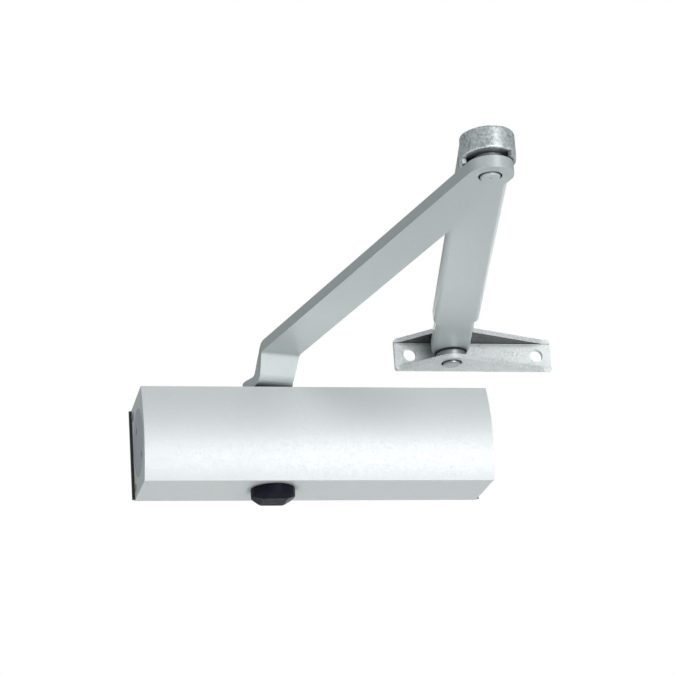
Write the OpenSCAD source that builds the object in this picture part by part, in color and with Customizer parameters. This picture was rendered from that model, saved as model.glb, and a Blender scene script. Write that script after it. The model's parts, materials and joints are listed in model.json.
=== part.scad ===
// Overhead door closer: rack-and-pinion body, folding link arm and frame bracket.
// Frame: origin at the centre of the mounting face, +X along the body, +Y into the door, +Z up.

/* [Body] */
// Length of the body
body_len = 180; // [170:1:220]
// Height of the body at its front edges
body_h = 50; // [50:0.5:56]
// Height of the body at the door
body_h_rear = 48.4; // [48:0.2:56]
// Depth of the body at its front edges
edge_depth = 36.7; // [36:0.1:42]
// Depth of the rounded front beyond its edges
front_bulge = 5.8; // [4:0.1:8]
// Radius of the piston's bore
bore_r = 15.5; // [15:0.1:15.8]
// Radius of the end plugs
plug_r = 17.3; // [17:0.1:17.4]

/* [Spindle] */
// Place of the spindle along the body
spindle_x = -22.4; // [-30:0.1:-18]
// Place of the spindle's axis in front of the door
spindle_y = -21.25; // [-21.5:0.05:-21]
// Gear module of the pinion and rack
gear_module = 1.25; // [1.2:0.01:1.26]
// Teeth on the pinion
pinion_teeth = 13; // [13]
// Turn of the spindle at full opening
open_deg = 175; // [150:5:175]

/* [Main arm] */
// Distance from the spindle to the elbow
arm_len = 249; // [220:1:280]
// Width of the main arm
arm_w = 21.2; // [18:0.2:22]
// Thickness of the main arm
arm_t = 5.5; // [5:0.1:6]
// Height of the raised arm's underside
arm_z = 41.6; // [40:0.1:41.6]
// Direction of the main arm at rest
arm_deg = -77.03; // [-85:0.01:-60]

/* [Forearm] */
// Distance from the elbow to the bracket's pin
forearm_len = 253; // [230:1:280]
// Width of the forearm's channel
channel_w = 23.6; // [22:0.2:24]
// Height of the channel's underside
channel_z = 52.5; // [52:0.1:53]
// Height of the channel's side walls
channel_h = 8; // [7.5:0.1:8.5]
// Sheet thickness of the channel
sheet_t = 2; // [1.8:0.1:2.2]
// Radius of the cap over the elbow
knob_r = 12.15; // [11.8:0.05:12.5]
// Direction of the forearm at rest
forearm_deg = 79.6; // [75:0.1:85]

/* [Bracket] */
// Spacing of the bracket's fixing holes
hole_spacing = 70; // [66:1:72]
// Radius of the bracket's fixing holes
hole_r = 3.5; // [2.5:0.1:3.6]
// Height of the bracket's middle
bracket_z = 55.8; // [55.5:0.1:56]
// Height of the bracket
bracket_h = 18.4; // [18:0.1:19]

/* [Hidden] */
$fn = 64;

gap = 0.05;             // radial clearance of a running fit
snug = 0.02;            // radial clearance of a fixed fit
eps = 0.5;              // how far a cutter runs past a face

// Body
half_len = body_len / 2;
half_h = body_h / 2;
half_h_rear = body_h_rear / 2;
front_r = (half_h * half_h + front_bulge * front_bulge) / (2 * front_bulge);
plate_t = 1.4;
plate_len = 182.8;
tab_t = 1.3;
tab_half_h = 23.8;
plate_half_h = 20;
plate_hole_r = 2.75;
plate_hole_x = 70;
plate_hole_z = 10;
countersink_r = 6.5;
lip_t = 2;
lip_depth = 5.5;
lip_half_len = 76;
screw_r = 2.5;
clamp_screw_y = -5.2;
clamp_screw_z = 19;
left_plug_len = 15;
right_plug_len = 12;
spanner_r = 1.8;
spanner_reach = 10.7;
spanner_deg = 50;

// Gear: pitch radius, working surfaces and tooth thickness
pitch_r = gear_module * pinion_teeth / 2;
pinion_tip_r = pitch_r + gear_module;
pinion_root_r = pitch_r - gear_module;
rack_addendum = 0.75 * gear_module;
rack_dedendum = 1.25 * gear_module;
pressure_deg = 20;
tooth_play = 0.06;
tooth_pitch = PI * gear_module;
travel = pitch_r * open_deg * PI / 180;
rack_y = spindle_y - pitch_r;

// Piston, at rest against the left plug
piston_r = bore_r - 0.07;
piston_x0 = -half_len + left_plug_len + 2;
window_x0 = spindle_x - travel - pinion_tip_r - 1.3;
window_x1 = spindle_x + pinion_tip_r + 1.3;
piston_x1 = window_x1 + 14;
gear_half_h = 8;

// Spindle
journal_r = 7;
shoulder_r = 8;
journal_z = 16;
bearing_r = 10;
bearing_z0 = 16.2;
bearing_z1 = 20.2;
seal_z1 = 22;
ring_z1 = 24.3;
square_w = 10;
cap_r = 11.25;
cap_rim_z = -29.1;
cap_z0 = -31.6;
cap_square = 6.2;       // half the width of the cap's square end
cap_corner = 0.5;       // how much its corners are rounded off
hub_z = 26.5;
hub_r = 12.3;
screw_core_r = 3;

// Main spring
spring_wire_r = 1.9;
spring_r = 10.8;
spring_turns = 9;
spring_x1 = half_len - right_plug_len;
cup_t = 3;

// Valves in the right end
valve_r = 3;
valve_len = 24;
valve_y = -33;
valve_z = 19.5;

// Main arm, in its own frame: the spindle's axis at 0, the arm along +X
bend_low = 12.9;
bend_high = 19.9;
ramp_left = [14.5, -9.9];    // where the ramp is narrowest on each side
ramp_right = [13.5, 8.9];
flare_x = 2;             // where the flare below the ramp meets the hub
flare_w = 24.2;
elbow_taper = 12;        // length over which the bar narrows to its round end
elbow_end_r = 10.6;
arm_top = arm_z + arm_t;
shank_r = 3.6;
stud_head_r = 4.5;
stud_head_out = 1;       // how far a rivet's head stands out of its sink
head_edge = 0.6;         // chamfer of a rivet's head
sink_play = 0.8;         // gap around a rivet's head in its sink
sink_depth = 2;

// Elbow and forearm, in their own frame: the elbow's axis at 0, the forearm along +X
elbow_x = spindle_x + arm_len * cos(arm_deg);
elbow_y = spindle_y + arm_len * sin(arm_deg);
knob_z0 = 50.2;
knob_z1 = 61.2;
skirt_z = arm_top + 0.5;
window_deg = -25;       // turn of the skirt's opening from straight ahead
window_offset = 5;
stud_r = 4.5;
clip_z = 56.2;
clip_t = 0.8;
pocket_r = 7.4;
lid_r = 9.4;
lid_t = 1.4;
block_end = 16;
channel_x0 = 16.3;
shoulder_x = 209;
neck_w = 20;
lip_w = 4.4;
channel_top = channel_z + channel_h;
tongue_z0 = channel_z + sheet_t + 0.2;
tongue_t = 3.6;
tongue_w = channel_w - 2 * sheet_t - 0.6;
tongue_end = 110;
bolt_x = 70;
bolt_r = 3;

// Bracket, in the body's frame
pin_x = elbow_x + forearm_len * cos(forearm_deg);
pin_y = elbow_y + forearm_len * sin(forearm_deg);
pin_r = 4;
pin_head_r = 4.7;
pin_head_out = 1.4;      // how far the pin's lower head stands out of its sink
pin_sink = 1.2;
ear_t = 2.5;
washer_r = 8.5;
flange_r = 7.9;
bush_r = 6;
base_t = 2.6;
base_x0 = 51.8;
base_x1 = 138;
base_round = 1.8;
hole_x0 = 60.1;
ear_r = 8.4;
bracket_z0 = bracket_z - bracket_h / 2;
bracket_z1 = bracket_z + bracket_h / 2;

// Points of a round corner at c between the lines from a and to b
function corner(a, c, b, r, n = 6) =
    let (u = (a - c) / norm(a - c), v = (b - c) / norm(b - c),
        half = acos(u * v) / 2, m = (u + v) / norm(u + v), o = c + m * r / sin(half),
        p = c + u * r / tan(half) - o, q = c + v * r / tan(half) - o)
    [for (i = [0 : n]) let (w = p * (1 - i / n) + q * i / n) o + w * r / norm(w)];

// Extrudes an outline drawn in Y and Z along X
module along_x(x0, x1) translate([x0, 0, 0]) rotate([90, 0, 90]) linear_extrude(x1 - x0) children();

// A rod along X, on the line through y and z
module rod_x(x0, x1, r, y, z) translate([x0, y, z]) rotate([0, 90, 0]) cylinder(h = x1 - x0, r = r);

// A ring around Z
module ring(r0, r1, z0, z1) translate([0, 0, z0]) difference() {
    cylinder(h = z1 - z0, r = r1);
    translate([0, 0, -eps]) cylinder(h = z1 - z0 + 2 * eps, r = r0);
}

// A ring around a line along X
module ring_x(x0, x1, r0, r1, y, z) translate([x0, y, z]) rotate([0, 90, 0]) ring(r0, r1, 0, x1 - x0);

module at_spindle() translate([spindle_x, spindle_y, 0]) children();
module in_arm() at_spindle() rotate(arm_deg) children();
module in_forearm() translate([elbow_x, elbow_y, 0]) rotate(forearm_deg) children();
module at_pin() translate([pin_x, pin_y, 0]) children();

// Body

module mounting_plate() color("dimgray") difference() {
    union() {
        translate([-plate_len / 2, -plate_t, -plate_half_h])
            cube([plate_len, plate_t, 2 * plate_half_h]);
        // end tabs that locate the body
        for (side = [0, 1]) mirror([side, 0, 0])
            translate([-plate_len / 2, -plate_t, -tab_half_h]) cube([tab_t, plate_t, 2 * tab_half_h]);
        for (z = [-plate_half_h, plate_half_h - lip_t])
            translate([-lip_half_len, -plate_t - lip_depth, z])
                cube([2 * lip_half_len, lip_depth + plate_t, lip_t]);
    }
    for (x = [-plate_hole_x, plate_hole_x], z = [-plate_hole_z, plate_hole_z])
        translate([x, eps, z]) rotate([90, 0, 0]) {
            cylinder(h = plate_t + 2 * eps, r = plate_hole_r);
            translate([0, 0, eps + 0.2]) cylinder(h = plate_t, r1 = plate_hole_r, r2 = countersink_r);
        }
}

module body_outline() intersection() {
    polygon([[0, -half_h_rear], [0, half_h_rear], [-edge_depth, half_h],
        [-edge_depth - front_bulge, half_h], [-edge_depth - front_bulge, -half_h], [-edge_depth, -half_h]]);
    translate([front_r - edge_depth - front_bulge, 0]) circle(front_r, $fn = 180);
}

module housing() color("silver") difference() {
    along_x(-half_len, half_len) body_outline();
    // recess for the mounting plate, with a groove for each of its lips
    translate([-half_len - eps, -plate_t - snug, -plate_half_h - 0.4])
        cube([body_len + 2 * eps, plate_t + 1, 2 * plate_half_h + 0.8]);
    for (z = [-plate_half_h - 0.4, plate_half_h - lip_t - 0.4])
        translate([-lip_half_len - 1.5, -plate_t - lip_depth - 0.5, z])
            cube([2 * lip_half_len + 3, lip_depth + 1, lip_t + 0.8]);
    // piston bore and plug threads
    rod_x(-half_len - eps, half_len + eps, bore_r, spindle_y, 0);
    rod_x(-half_len - eps, -half_len + left_plug_len, plug_r, spindle_y, 0);
    rod_x(half_len - right_plug_len, half_len + eps, plug_r, spindle_y, 0);
    // spindle bore
    at_spindle() translate([0, 0, -half_h - eps]) cylinder(h = body_h + 2 * eps, r = bearing_r);
    // screws that clamp the plate, and the two valves
    for (side = [-1, 1], z = [-clamp_screw_z, clamp_screw_z])
        translate([side * (half_len + lip_half_len + eps) / 2, clamp_screw_y, z]) rotate([0, 90, 0])
            cylinder(h = half_len - lip_half_len + eps, r = screw_r, center = true);
    for (z = [-valve_z, valve_z])
        rod_x(half_len - valve_len - 1, half_len + eps, valve_r + gap, valve_y, z);
}

// A screwed plug with two blind spanner holes in its outer face, which looks along -X
module end_plug(len) difference() {
    union() {
        rod_x(0, len, plug_r - snug, 0, 0);
        rod_x(len - eps, len + 2, bore_r - snug, 0, 0);
    }
    for (turn = [0, 180])
        rotate([turn + spanner_deg, 0, 0]) rod_x(-eps, 6, spanner_r, spanner_reach, 0);
    // groove for the ring
    ring_x(len - 5, len - 3, plug_r - 1.4, plug_r + eps, 0, 0);
}

module left_end_plug() color("lightgray") translate([-half_len, spindle_y, 0]) end_plug(left_plug_len);

module right_end_plug() color("lightgray") difference() {
    translate([half_len, spindle_y, 0]) rotate([0, 0, 180]) end_plug(right_plug_len);
    // the spring's end seat
    rod_x(spring_x1 - 2 - eps, spring_x1, spring_r + 3, spindle_y, 0);
}

module plug_ring(x) ring_x(x, x + 1.9, plug_r - 1.38, plug_r - snug, spindle_y, 0);
module left_plug_ring() color("black") plug_ring(-half_len + left_plug_len - 4.95);
module right_plug_ring() color("black") plug_ring(half_len - right_plug_len + 3.05);

module clamp_screw() difference() {
    union() {
        rod_x(1.5, 11, screw_r - snug, 0, 0);
        translate([11, 0, 0]) rotate([0, 90, 0]) cylinder(h = 2.5, r1 = screw_r - snug, r2 = 1);
    }
    rod_x(1.5 - eps, 4.5, 1.3, 0, 0);
}

module clamp_screws() color("dimgray")
    for (side = [0, 1], z = [-clamp_screw_z, clamp_screw_z])
        mirror([side, 0, 0]) translate([-half_len, clamp_screw_y, z]) clamp_screw();

// Spindle bearings, the same above and below

module upper_bearing() color("darkgoldenrod")
    at_spindle() ring(journal_r + gap, bearing_r - snug, bearing_z0, bearing_z1);
module lower_bearing() color("darkgoldenrod")
    at_spindle() ring(journal_r + gap, bearing_r - snug, -bearing_z1, -bearing_z0);
module upper_seal() color("black")
    at_spindle() ring(journal_r + gap, bearing_r - snug, bearing_z1, seal_z1);
module lower_seal() color("black")
    at_spindle() ring(journal_r + gap, bearing_r - snug, -seal_z1, -bearing_z1);
module upper_lock_ring() color("lightgray")
    at_spindle() ring(journal_r + 0.4, bearing_r - snug, seal_z1, ring_z1);
module lower_lock_ring() color("lightgray")
    at_spindle() ring(journal_r + 0.4, bearing_r - snug, -ring_z1, -seal_z1);

// Valves

module valve(z) difference() {
    union() {
        rod_x(half_len - 9, half_len - 0.8, valve_r, valve_y, z);
        rod_x(half_len - valve_len + 6, half_len - 8, 1.8, valve_y, z);
        translate([half_len - valve_len, valve_y, z]) rotate([0, 90, 0])
            cylinder(h = 6, r1 = 0.4, r2 = 1.8);
        rod_x(half_len - 15, half_len - 12.5, valve_r, valve_y, z);
    }
    translate([half_len - 2.2, valve_y - valve_r, z - 0.5]) cube([2, 2 * valve_r, 1]);
}

module valve_ring(z) ring_x(half_len - 12.4, half_len - 10.6, 1.82, valve_r, valve_y, z);

module closing_valve() color("gainsboro") valve(valve_z);
module latching_valve() color("gainsboro") valve(-valve_z);
module closing_valve_ring() color("black") valve_ring(valve_z);
module latching_valve_ring() color("black") valve_ring(-valve_z);

// Piston

// One rack tooth, drawn from inside the piston to the tooth's tip
module rack_tooth() {
    slope = tan(pressure_deg);
    half = tooth_pitch / 4 - tooth_play / 2;
    root = half + (rack_dedendum + eps) * slope;
    tip = half - rack_addendum * slope;
    polygon([[-root, -rack_dedendum - eps], [root, -rack_dedendum - eps],
        [tip, rack_addendum], [-tip, rack_addendum]]);
}

module piston() color("darkgray") difference() {
    union() {
        difference() {
            rod_x(piston_x0, piston_x1, piston_r, spindle_y, 0);
            translate([window_x0, rack_y - rack_dedendum, -bore_r - eps])
                cube([window_x1 - window_x0, pitch_r + rack_dedendum + pinion_tip_r + 0.8,
                    2 * bore_r + 2 * eps]);
        }
        for (i = [-8 : 2])
            translate([spindle_x + i * tooth_pitch, rack_y, -gear_half_h])
                linear_extrude(2 * gear_half_h) rack_tooth();
    }
    // groove for the seal
    ring_x(piston_x0 + 4, piston_x0 + 7, piston_r - 2, piston_r + eps, spindle_y, 0);
    // check valve: a wide bore, a seat and a narrow way into the window
    rod_x(piston_x0 - eps, piston_x0 + 8, 3, spindle_y, 7);
    rod_x(piston_x0, window_x0 + eps, 1.2, spindle_y, 7);
    // waist for the spring cup
    rod_x(piston_x1 - 5, piston_x1 + eps, 5, spindle_y, 0);
}

module piston_seal() color("black")
    ring_x(piston_x0 + 4.05, piston_x0 + 6.95, piston_r - 1.95, bore_r - gap, spindle_y, 0);

module check_ball() color("silver") translate([piston_x0 + 5.9, spindle_y, 7]) sphere(2);

module check_retainer() color("gainsboro")
    ring_x(piston_x0 + 0.3, piston_x0 + 3.3, 1.2, 3 - snug, spindle_y, 7);

module spring_cup() color("gray") difference() {
    union() {
        rod_x(piston_x1 + snug, piston_x1 + cup_t, bore_r - 0.6, spindle_y, 0);
        rod_x(piston_x1 - 4.5, piston_x1 + cup_t, 5 - snug, spindle_y, 0);
        rod_x(piston_x1 + cup_t - eps, piston_x1 + cup_t + 4, spring_r - spring_wire_r - 0.6, spindle_y, 0);
    }
    rod_x(piston_x1 - 5, piston_x1 + cup_t + 5, 2.5, spindle_y, 0);
}

// Compression spring with closed ends
spring_x0 = piston_x1 + cup_t + spring_wire_r;
spring_rise = spring_x1 - spring_wire_r - spring_x0;
end_rise = 1.1;

// How far along X the helix has come after t turns
function spring_lift(t) = t < 1 ? end_rise * t
    : t > spring_turns - 1 ? spring_rise - end_rise * (spring_turns - t)
    : end_rise + (spring_rise - 2 * end_rise) * (t - 1) / (spring_turns - 2);

// Swept as rings of points along the helix
module main_spring() color("lightslategray") {
    sides = 8;
    steps = 14;
    count = spring_turns * steps;
    points = [for (i = [0 : count], k = [0 : sides - 1])
        let (t = i / steps, a = 360 * t, b = 360 * k / sides, r = spring_r + spring_wire_r * cos(b))
            [spring_x0 + spring_lift(t) + spring_wire_r * sin(b), spindle_y + r * cos(a), r * sin(a)]];
    wall = [for (i = [0 : count - 1], k = [0 : sides - 1])
        let (a = i * sides + k, b = i * sides + (k + 1) % sides) [a, b, b + sides, a + sides]];
    ends = [[for (k = [sides - 1 : -1 : 0]) k], [for (k = [0 : sides - 1]) count * sides + k]];
    polyhedron(points, concat(wall, ends), convexity = 10);
}

// Spindle with its pinion

function involute(base, t) =
    base * [cos(t) + t * PI / 180 * sin(t), sin(t) - t * PI / 180 * cos(t)];
function turned(p, a) = [p.x * cos(a) - p.y * sin(a), p.x * sin(a) + p.y * cos(a)];

// Outline of the pinion: involute flanks above the base circle, straight ones below it
module pinion_outline() {
    base = pitch_r * cos(pressure_deg);
    t_pitch = sqrt(pow(pitch_r / base, 2) - 1) * 180 / PI;
    t_tip = sqrt(pow(pinion_tip_r / base, 2) - 1) * 180 / PI;
    at_pitch = involute(base, t_pitch);
    half_tooth = 90 / pinion_teeth - tooth_play / 2 / pitch_r * 180 / PI;
    start = half_tooth + atan2(at_pitch.y, at_pitch.x);
    flank = [for (i = [0 : 5]) turned(involute(base, t_tip * i / 5), -start)];
    root = turned([pinion_root_r, 0], -start - 1.5);
    side = concat([root], flank);
    other = [for (i = [len(side) - 1 : -1 : 0]) [side[i].x, -side[i].y]];
    polygon([for (k = [0 : pinion_teeth - 1], p = concat(side, other))
        turned(p, -90 + 360 / pinion_teeth * (k + 0.5))]);
}

module square_end(z0, z1) translate([-square_w / 2, -square_w / 2, z0]) cube([square_w, square_w, z1 - z0]);

module spindle_pinion() color("slategray") at_spindle() difference() {
    union() {
        translate([0, 0, -gear_half_h - 0.5]) linear_extrude(2 * gear_half_h + 1) pinion_outline();
        translate([0, 0, -journal_z]) cylinder(h = 2 * journal_z, r = pinion_root_r - 0.2);
        for (side = [0, 1]) mirror([0, 0, side]) {
            translate([0, 0, gear_half_h + 0.5]) cylinder(h = journal_z - gear_half_h - 0.5, r = shoulder_r);
            translate([0, 0, journal_z - eps]) cylinder(h = ring_z1 + 0.2 - journal_z + eps, r = journal_r);
        }
        square_end(ring_z1, hub_z + arm_t - 0.3);
        square_end(-ring_z1 - 5, -ring_z1);
    }
    translate([0, 0, 12]) cylinder(h = 30, r = screw_core_r);
}

// Round rim that tapers to a square end
module spindle_cap() color("midnightblue") at_spindle() difference() {
    union() {
        translate([0, 0, cap_rim_z]) cylinder(h = -half_h - 0.1 - cap_rim_z, r = cap_r);
        intersection() {
            translate([0, 0, cap_z0])
                cylinder(h = cap_rim_z - cap_z0, r1 = cap_square * sqrt(2) - cap_corner, r2 = cap_r);
            translate([0, 0, cap_z0]) rotate(45) cylinder(h = cap_rim_z - cap_z0,
                r1 = cap_square * sqrt(2), r2 = (cap_r + 0.4) * sqrt(2), $fn = 4);
        }
    }
    square_end(-ring_z1 - 5.1, -20);
    // thin wall around the socket
    ring(8.2, 9.6, cap_rim_z + 1, -half_h + 1);
}

// Main arm, in its own frame

module arm_outline() {
    polygon([[flare_x, -flare_w / 2], ramp_left, [bend_high, -arm_w / 2],
        [arm_len - elbow_taper, -arm_w / 2], [arm_len, -elbow_end_r], [arm_len, elbow_end_r],
        [arm_len - elbow_taper, arm_w / 2], [bend_high, arm_w / 2], ramp_right, [flare_x, flare_w / 2]]);
    translate([arm_len, 0]) circle(elbow_end_r);
    circle(hub_r);
}

// Side view of the bar: flat at the hub, up the ramp, then level to the elbow
module arm_side() {
    ramp = atan2(arm_z - hub_z, bend_high - bend_low);
    shift = arm_t * tan(ramp / 2);
    from = -hub_r - 1;
    to = arm_len + elbow_end_r + 1;
    low = [[from, hub_z], [bend_low, hub_z], [bend_high, arm_z], [to, arm_z]];
    top = [[from, hub_z + arm_t], [bend_low - shift, hub_z + arm_t],
        [bend_high - shift, arm_top], [to, arm_top]];
    polygon(concat([low[0]], corner(low[0], low[1], low[2], 8), corner(low[1], low[2], low[3], 2),
        [low[3], top[3]], corner(top[3], top[2], top[1], 11), corner(top[2], top[1], top[0], 3),
        [top[0]]));
}

module main_arm() color("silver") in_arm() difference() {
    intersection() {
        translate([0, arm_w, 0]) rotate([90, 0, 0]) linear_extrude(2 * arm_w) arm_side();
        linear_extrude(2 * arm_top) arm_outline();
    }
    rotate(-arm_deg) square_end(hub_z - eps, hub_z + arm_t + eps);
    // rivet hole with a shallow sink below
    translate([arm_len, 0, arm_z - eps]) cylinder(h = arm_t + 2 * eps, r = shank_r);
    translate([arm_len, 0, arm_z - eps]) cylinder(h = eps + sink_depth, r = stud_head_r + sink_play);
}

module arm_washer() color("lightgray")
    at_spindle() ring(screw_core_r + 0.2, 8, hub_z + arm_t, hub_z + arm_t + 1.2);

module arm_screw() color("silver") at_spindle() difference() {
    union() {
        translate([0, 0, hub_z + arm_t + 1.2]) cylinder(h = 4.2, r = 5);
        translate([0, 0, 14]) cylinder(h = hub_z + arm_t + 1.5 - 14, r = screw_core_r - snug);
    }
    // hexagon socket
    translate([0, 0, hub_z + arm_t + 2.6]) cylinder(h = 5, r = 2.9, $fn = 6);
}

// Elbow: the stud is riveted in the main arm and turns in the forearm's head

module elbow_stud() color("gainsboro") in_arm() translate([arm_len, 0, 0]) difference() {
    union() {
        translate([0, 0, arm_z - stud_head_out]) rivet_head(sink_depth + stud_head_out, stud_head_r);
        translate([0, 0, arm_z + 1.5]) cylinder(h = arm_t - 1.5, r = shank_r - snug);
        translate([0, 0, arm_top]) cylinder(h = knob_z0 - 0.1 - arm_top, r = 7);
        translate([0, 0, arm_top]) cylinder(h = clip_z + clip_t + 0.9 - arm_top, r = stud_r - gap);
    }
    ring_groove();
    // punch mark
    translate([0, 0, arm_z - stud_head_out - 0.1]) cylinder(h = 0.8, r1 = 1, r2 = 0.2);
}

// A flat rivet head with its chamfer below
module rivet_head(height, r) {
    cylinder(h = head_edge, r1 = r - head_edge, r2 = r);
    translate([0, 0, head_edge]) cylinder(h = height - head_edge, r = r);
}

module ring_groove() ring(stud_r - 1, stud_r + eps, clip_z, clip_z + clip_t + 0.1);

module elbow_clip() color("slategray") in_arm() translate([arm_len, 0, 0])
    ring(stud_r - 0.95, 6.4, clip_z + gap, clip_z + clip_t);

// Head of the forearm, in the forearm's frame: cap over the elbow, skirt behind it, slotted tongue

module forearm_head() color("darkgray") in_forearm() difference() {
    union() {
        translate([0, 0, knob_z0]) cylinder(h = knob_z1 - knob_z0, r = knob_r);
        translate([0, 0, skirt_z]) cylinder(h = knob_z0 - skirt_z + eps, r = knob_r);
        translate([0, -channel_w / 2, channel_z]) cube([block_end, channel_w, knob_z1 - channel_z]);
        translate([block_end - eps, -tongue_w / 2, tongue_z0])
            cube([tongue_end - tongue_w / 2 - block_end + eps, tongue_w, tongue_t]);
        translate([tongue_end - tongue_w / 2, 0, tongue_z0]) cylinder(h = tongue_t, r = tongue_w / 2);
    }
    // stud bore, clip pocket and seat of the lid
    translate([0, 0, knob_z0 - eps]) cylinder(h = 10, r = stud_r);
    translate([0, 0, clip_z - 0.2]) cylinder(h = 10, r = pocket_r);
    translate([0, 0, knob_z1 - lid_t]) cylinder(h = 5, r = lid_r);
    // room inside the skirt, open to the front
    translate([0, 0, skirt_z - eps]) cylinder(h = knob_z0 - skirt_z + eps, r = knob_r - 2);
    rotate(window_deg - forearm_deg) translate([-20, -30, skirt_z - eps])
        cube([40, 30 - window_offset, knob_z0 - skirt_z + eps]);
    // threaded hole for the clamp bolt
    translate([bolt_x, 0, tongue_z0 - eps]) cylinder(h = tongue_t + 2 * eps, r = bolt_r);
}

module elbow_cap() color("gray") in_forearm()
    translate([0, 0, knob_z1 - lid_t]) cylinder(h = lid_t, r = lid_r - snug);

module clamp_bolt() color("silver") in_forearm() translate([bolt_x, 0, 0]) {
    translate([0, 0, tongue_z0 - 0.15]) cylinder(h = channel_top + 1 - tongue_z0, r = bolt_r - snug);
    translate([0, 0, channel_top + 1.3]) cylinder(h = 4, r = 5.8, $fn = 6);
    translate([0, 0, channel_top + 0.8]) cylinder(h = 0.6, r = 4.5);
}

module clamp_washer() color("lightgray") in_forearm() translate([bolt_x, 0, 0])
    ring(bolt_r, 7, channel_top + 0.1, channel_top + 0.8);

// Channel of the forearm, in the forearm's frame: a folded sheet that narrows to a neck at the bracket

module channel_plan(w, neck, end_r) {
    polygon([[channel_x0, -w / 2], [shoulder_x, -w / 2], [shoulder_x + 3, -neck / 2],
        [forearm_len, -neck / 2], [forearm_len, neck / 2], [shoulder_x + 3, neck / 2],
        [shoulder_x, w / 2], [channel_x0, w / 2]]);
    translate([forearm_len, 0]) circle(end_r);
}

module forearm_channel() color("lightgray") in_forearm() difference() {
    translate([0, 0, channel_z]) linear_extrude(channel_h)
        channel_plan(channel_w, neck_w, neck_w / 2);
    translate([0, 0, channel_z + sheet_t]) linear_extrude(channel_h - 2 * sheet_t)
        channel_plan(channel_w - 2 * sheet_t, neck_w - 2 * sheet_t, neck_w / 2 - sheet_t);
    // open ends and open top
    translate([channel_x0 - eps, -channel_w / 2 + sheet_t, channel_z + sheet_t])
        cube([2, channel_w - 2 * sheet_t, channel_h - 2 * sheet_t]);
    translate([channel_x0 - eps, -channel_w / 2 + lip_w, channel_top - sheet_t - eps])
        cube([shoulder_x - channel_x0, channel_w - 2 * lip_w, sheet_t + 2 * eps]);
    translate([shoulder_x - 2, -neck_w / 2 + sheet_t, channel_z + sheet_t])
        cube([forearm_len - shoulder_x + 2, neck_w - 2 * sheet_t, channel_h]);
    translate([forearm_len, 0, channel_z + sheet_t]) cylinder(h = channel_h, r = neck_w / 2 - sheet_t);
    // bush hole
    translate([forearm_len, 0, channel_z - eps]) cylinder(h = sheet_t + 2 * eps, r = bush_r);
}

module shoe_bush() color("gainsboro") at_pin() difference() {
    union() {
        translate([0, 0, bracket_z0 + ear_t + 0.15])
            cylinder(h = channel_z - 0.6 - bracket_z0 - ear_t - 0.15, r = flange_r);
        translate([0, 0, bracket_z0 + ear_t + 0.15])
            cylinder(h = bracket_h - 2 * ear_t - 0.3, r = bush_r - snug);
    }
    translate([0, 0, bracket_z0]) cylinder(h = bracket_h, r = pin_r + gap);
}

module shoe_washer() color("dimgray") at_pin() ring(bush_r, washer_r, channel_z - 0.6, channel_z);

// Bracket with its riveted pin, in the body's frame

// Outline of an ear: straight from each end of the base to an arc around the pin
module ear_outline() {
    pin = [pin_x, pin_y];
    left = [base_x0 + 0.6, -1.5];
    right = [base_x1 - 0.6, -1.5];
    function touch(p, side) = atan2(p.y - pin.y, p.x - pin.x) + side * acos(ear_r / norm(p - pin));
    from = touch(left, 1);
    to = touch(right, -1) + 360;
    arc = [for (i = [0 : 12]) let (a = from + (to - from) * i / 12) pin + ear_r * [cos(a), sin(a)]];
    polygon(concat([[left.x, 0], left], arc, [right, [right.x, 0]]));
}

module base_outline() {
    low = [base_x0, bracket_z0];
    high = [base_x1, bracket_z1];
    c = [low, [high.x, low.y], high, [low.x, high.y]];
    polygon([for (i = [0 : 3], p = corner(c[(i + 3) % 4], c[i], c[(i + 1) % 4], base_round, 5)) p]);
}

module shoe_bracket() color("lightgray") difference() {
    union() {
        rotate([90, 0, 0]) linear_extrude(base_t) base_outline();
        for (z = [bracket_z0, bracket_z1 - ear_t]) translate([0, 0, z])
            linear_extrude(ear_t) ear_outline();
    }
    for (x = [hole_x0, hole_x0 + hole_spacing])
        translate([x, eps, bracket_z]) rotate([90, 0, 0]) cylinder(h = base_t + 2 * eps, r = hole_r);
    // pin holes, with a shallow sink below
    at_pin() translate([0, 0, bracket_z0 - eps]) cylinder(h = bracket_h + 2 * eps, r = pin_r);
    at_pin() translate([0, 0, bracket_z0 - eps]) cylinder(h = eps + pin_sink, r = pin_head_r + sink_play);
}

module shoe_pin() color("gainsboro") at_pin() {
    translate([0, 0, bracket_z0 - pin_head_out]) rivet_head(pin_sink + pin_head_out, pin_head_r);
    translate([0, 0, bracket_z0 + 1]) cylinder(h = bracket_h - 1, r = pin_r - snug);
    translate([0, 0, bracket_z1]) cylinder(h = 1.6, r = pin_head_r);
}

mounting_plate();
housing();
left_end_plug();
right_end_plug();
left_plug_ring();
right_plug_ring();
clamp_screws();
upper_bearing();
lower_bearing();
upper_seal();
lower_seal();
upper_lock_ring();
lower_lock_ring();
closing_valve();
closing_valve_ring();
latching_valve();
latching_valve_ring();
piston();
piston_seal();
check_ball();
check_retainer();
spring_cup();
main_spring();
spindle_pinion();
spindle_cap();
main_arm();
arm_screw();
arm_washer();
elbow_stud();
elbow_clip();
elbow_cap();
forearm_head();
clamp_bolt();
clamp_washer();
forearm_channel();
shoe_bush();
shoe_washer();
shoe_pin();
shoe_bracket();
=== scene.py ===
"""Overhead door closer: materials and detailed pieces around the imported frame. Metres, +Z up."""
import json
import math

import bmesh
import bpy
from mathutils import Matrix, Vector


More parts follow.
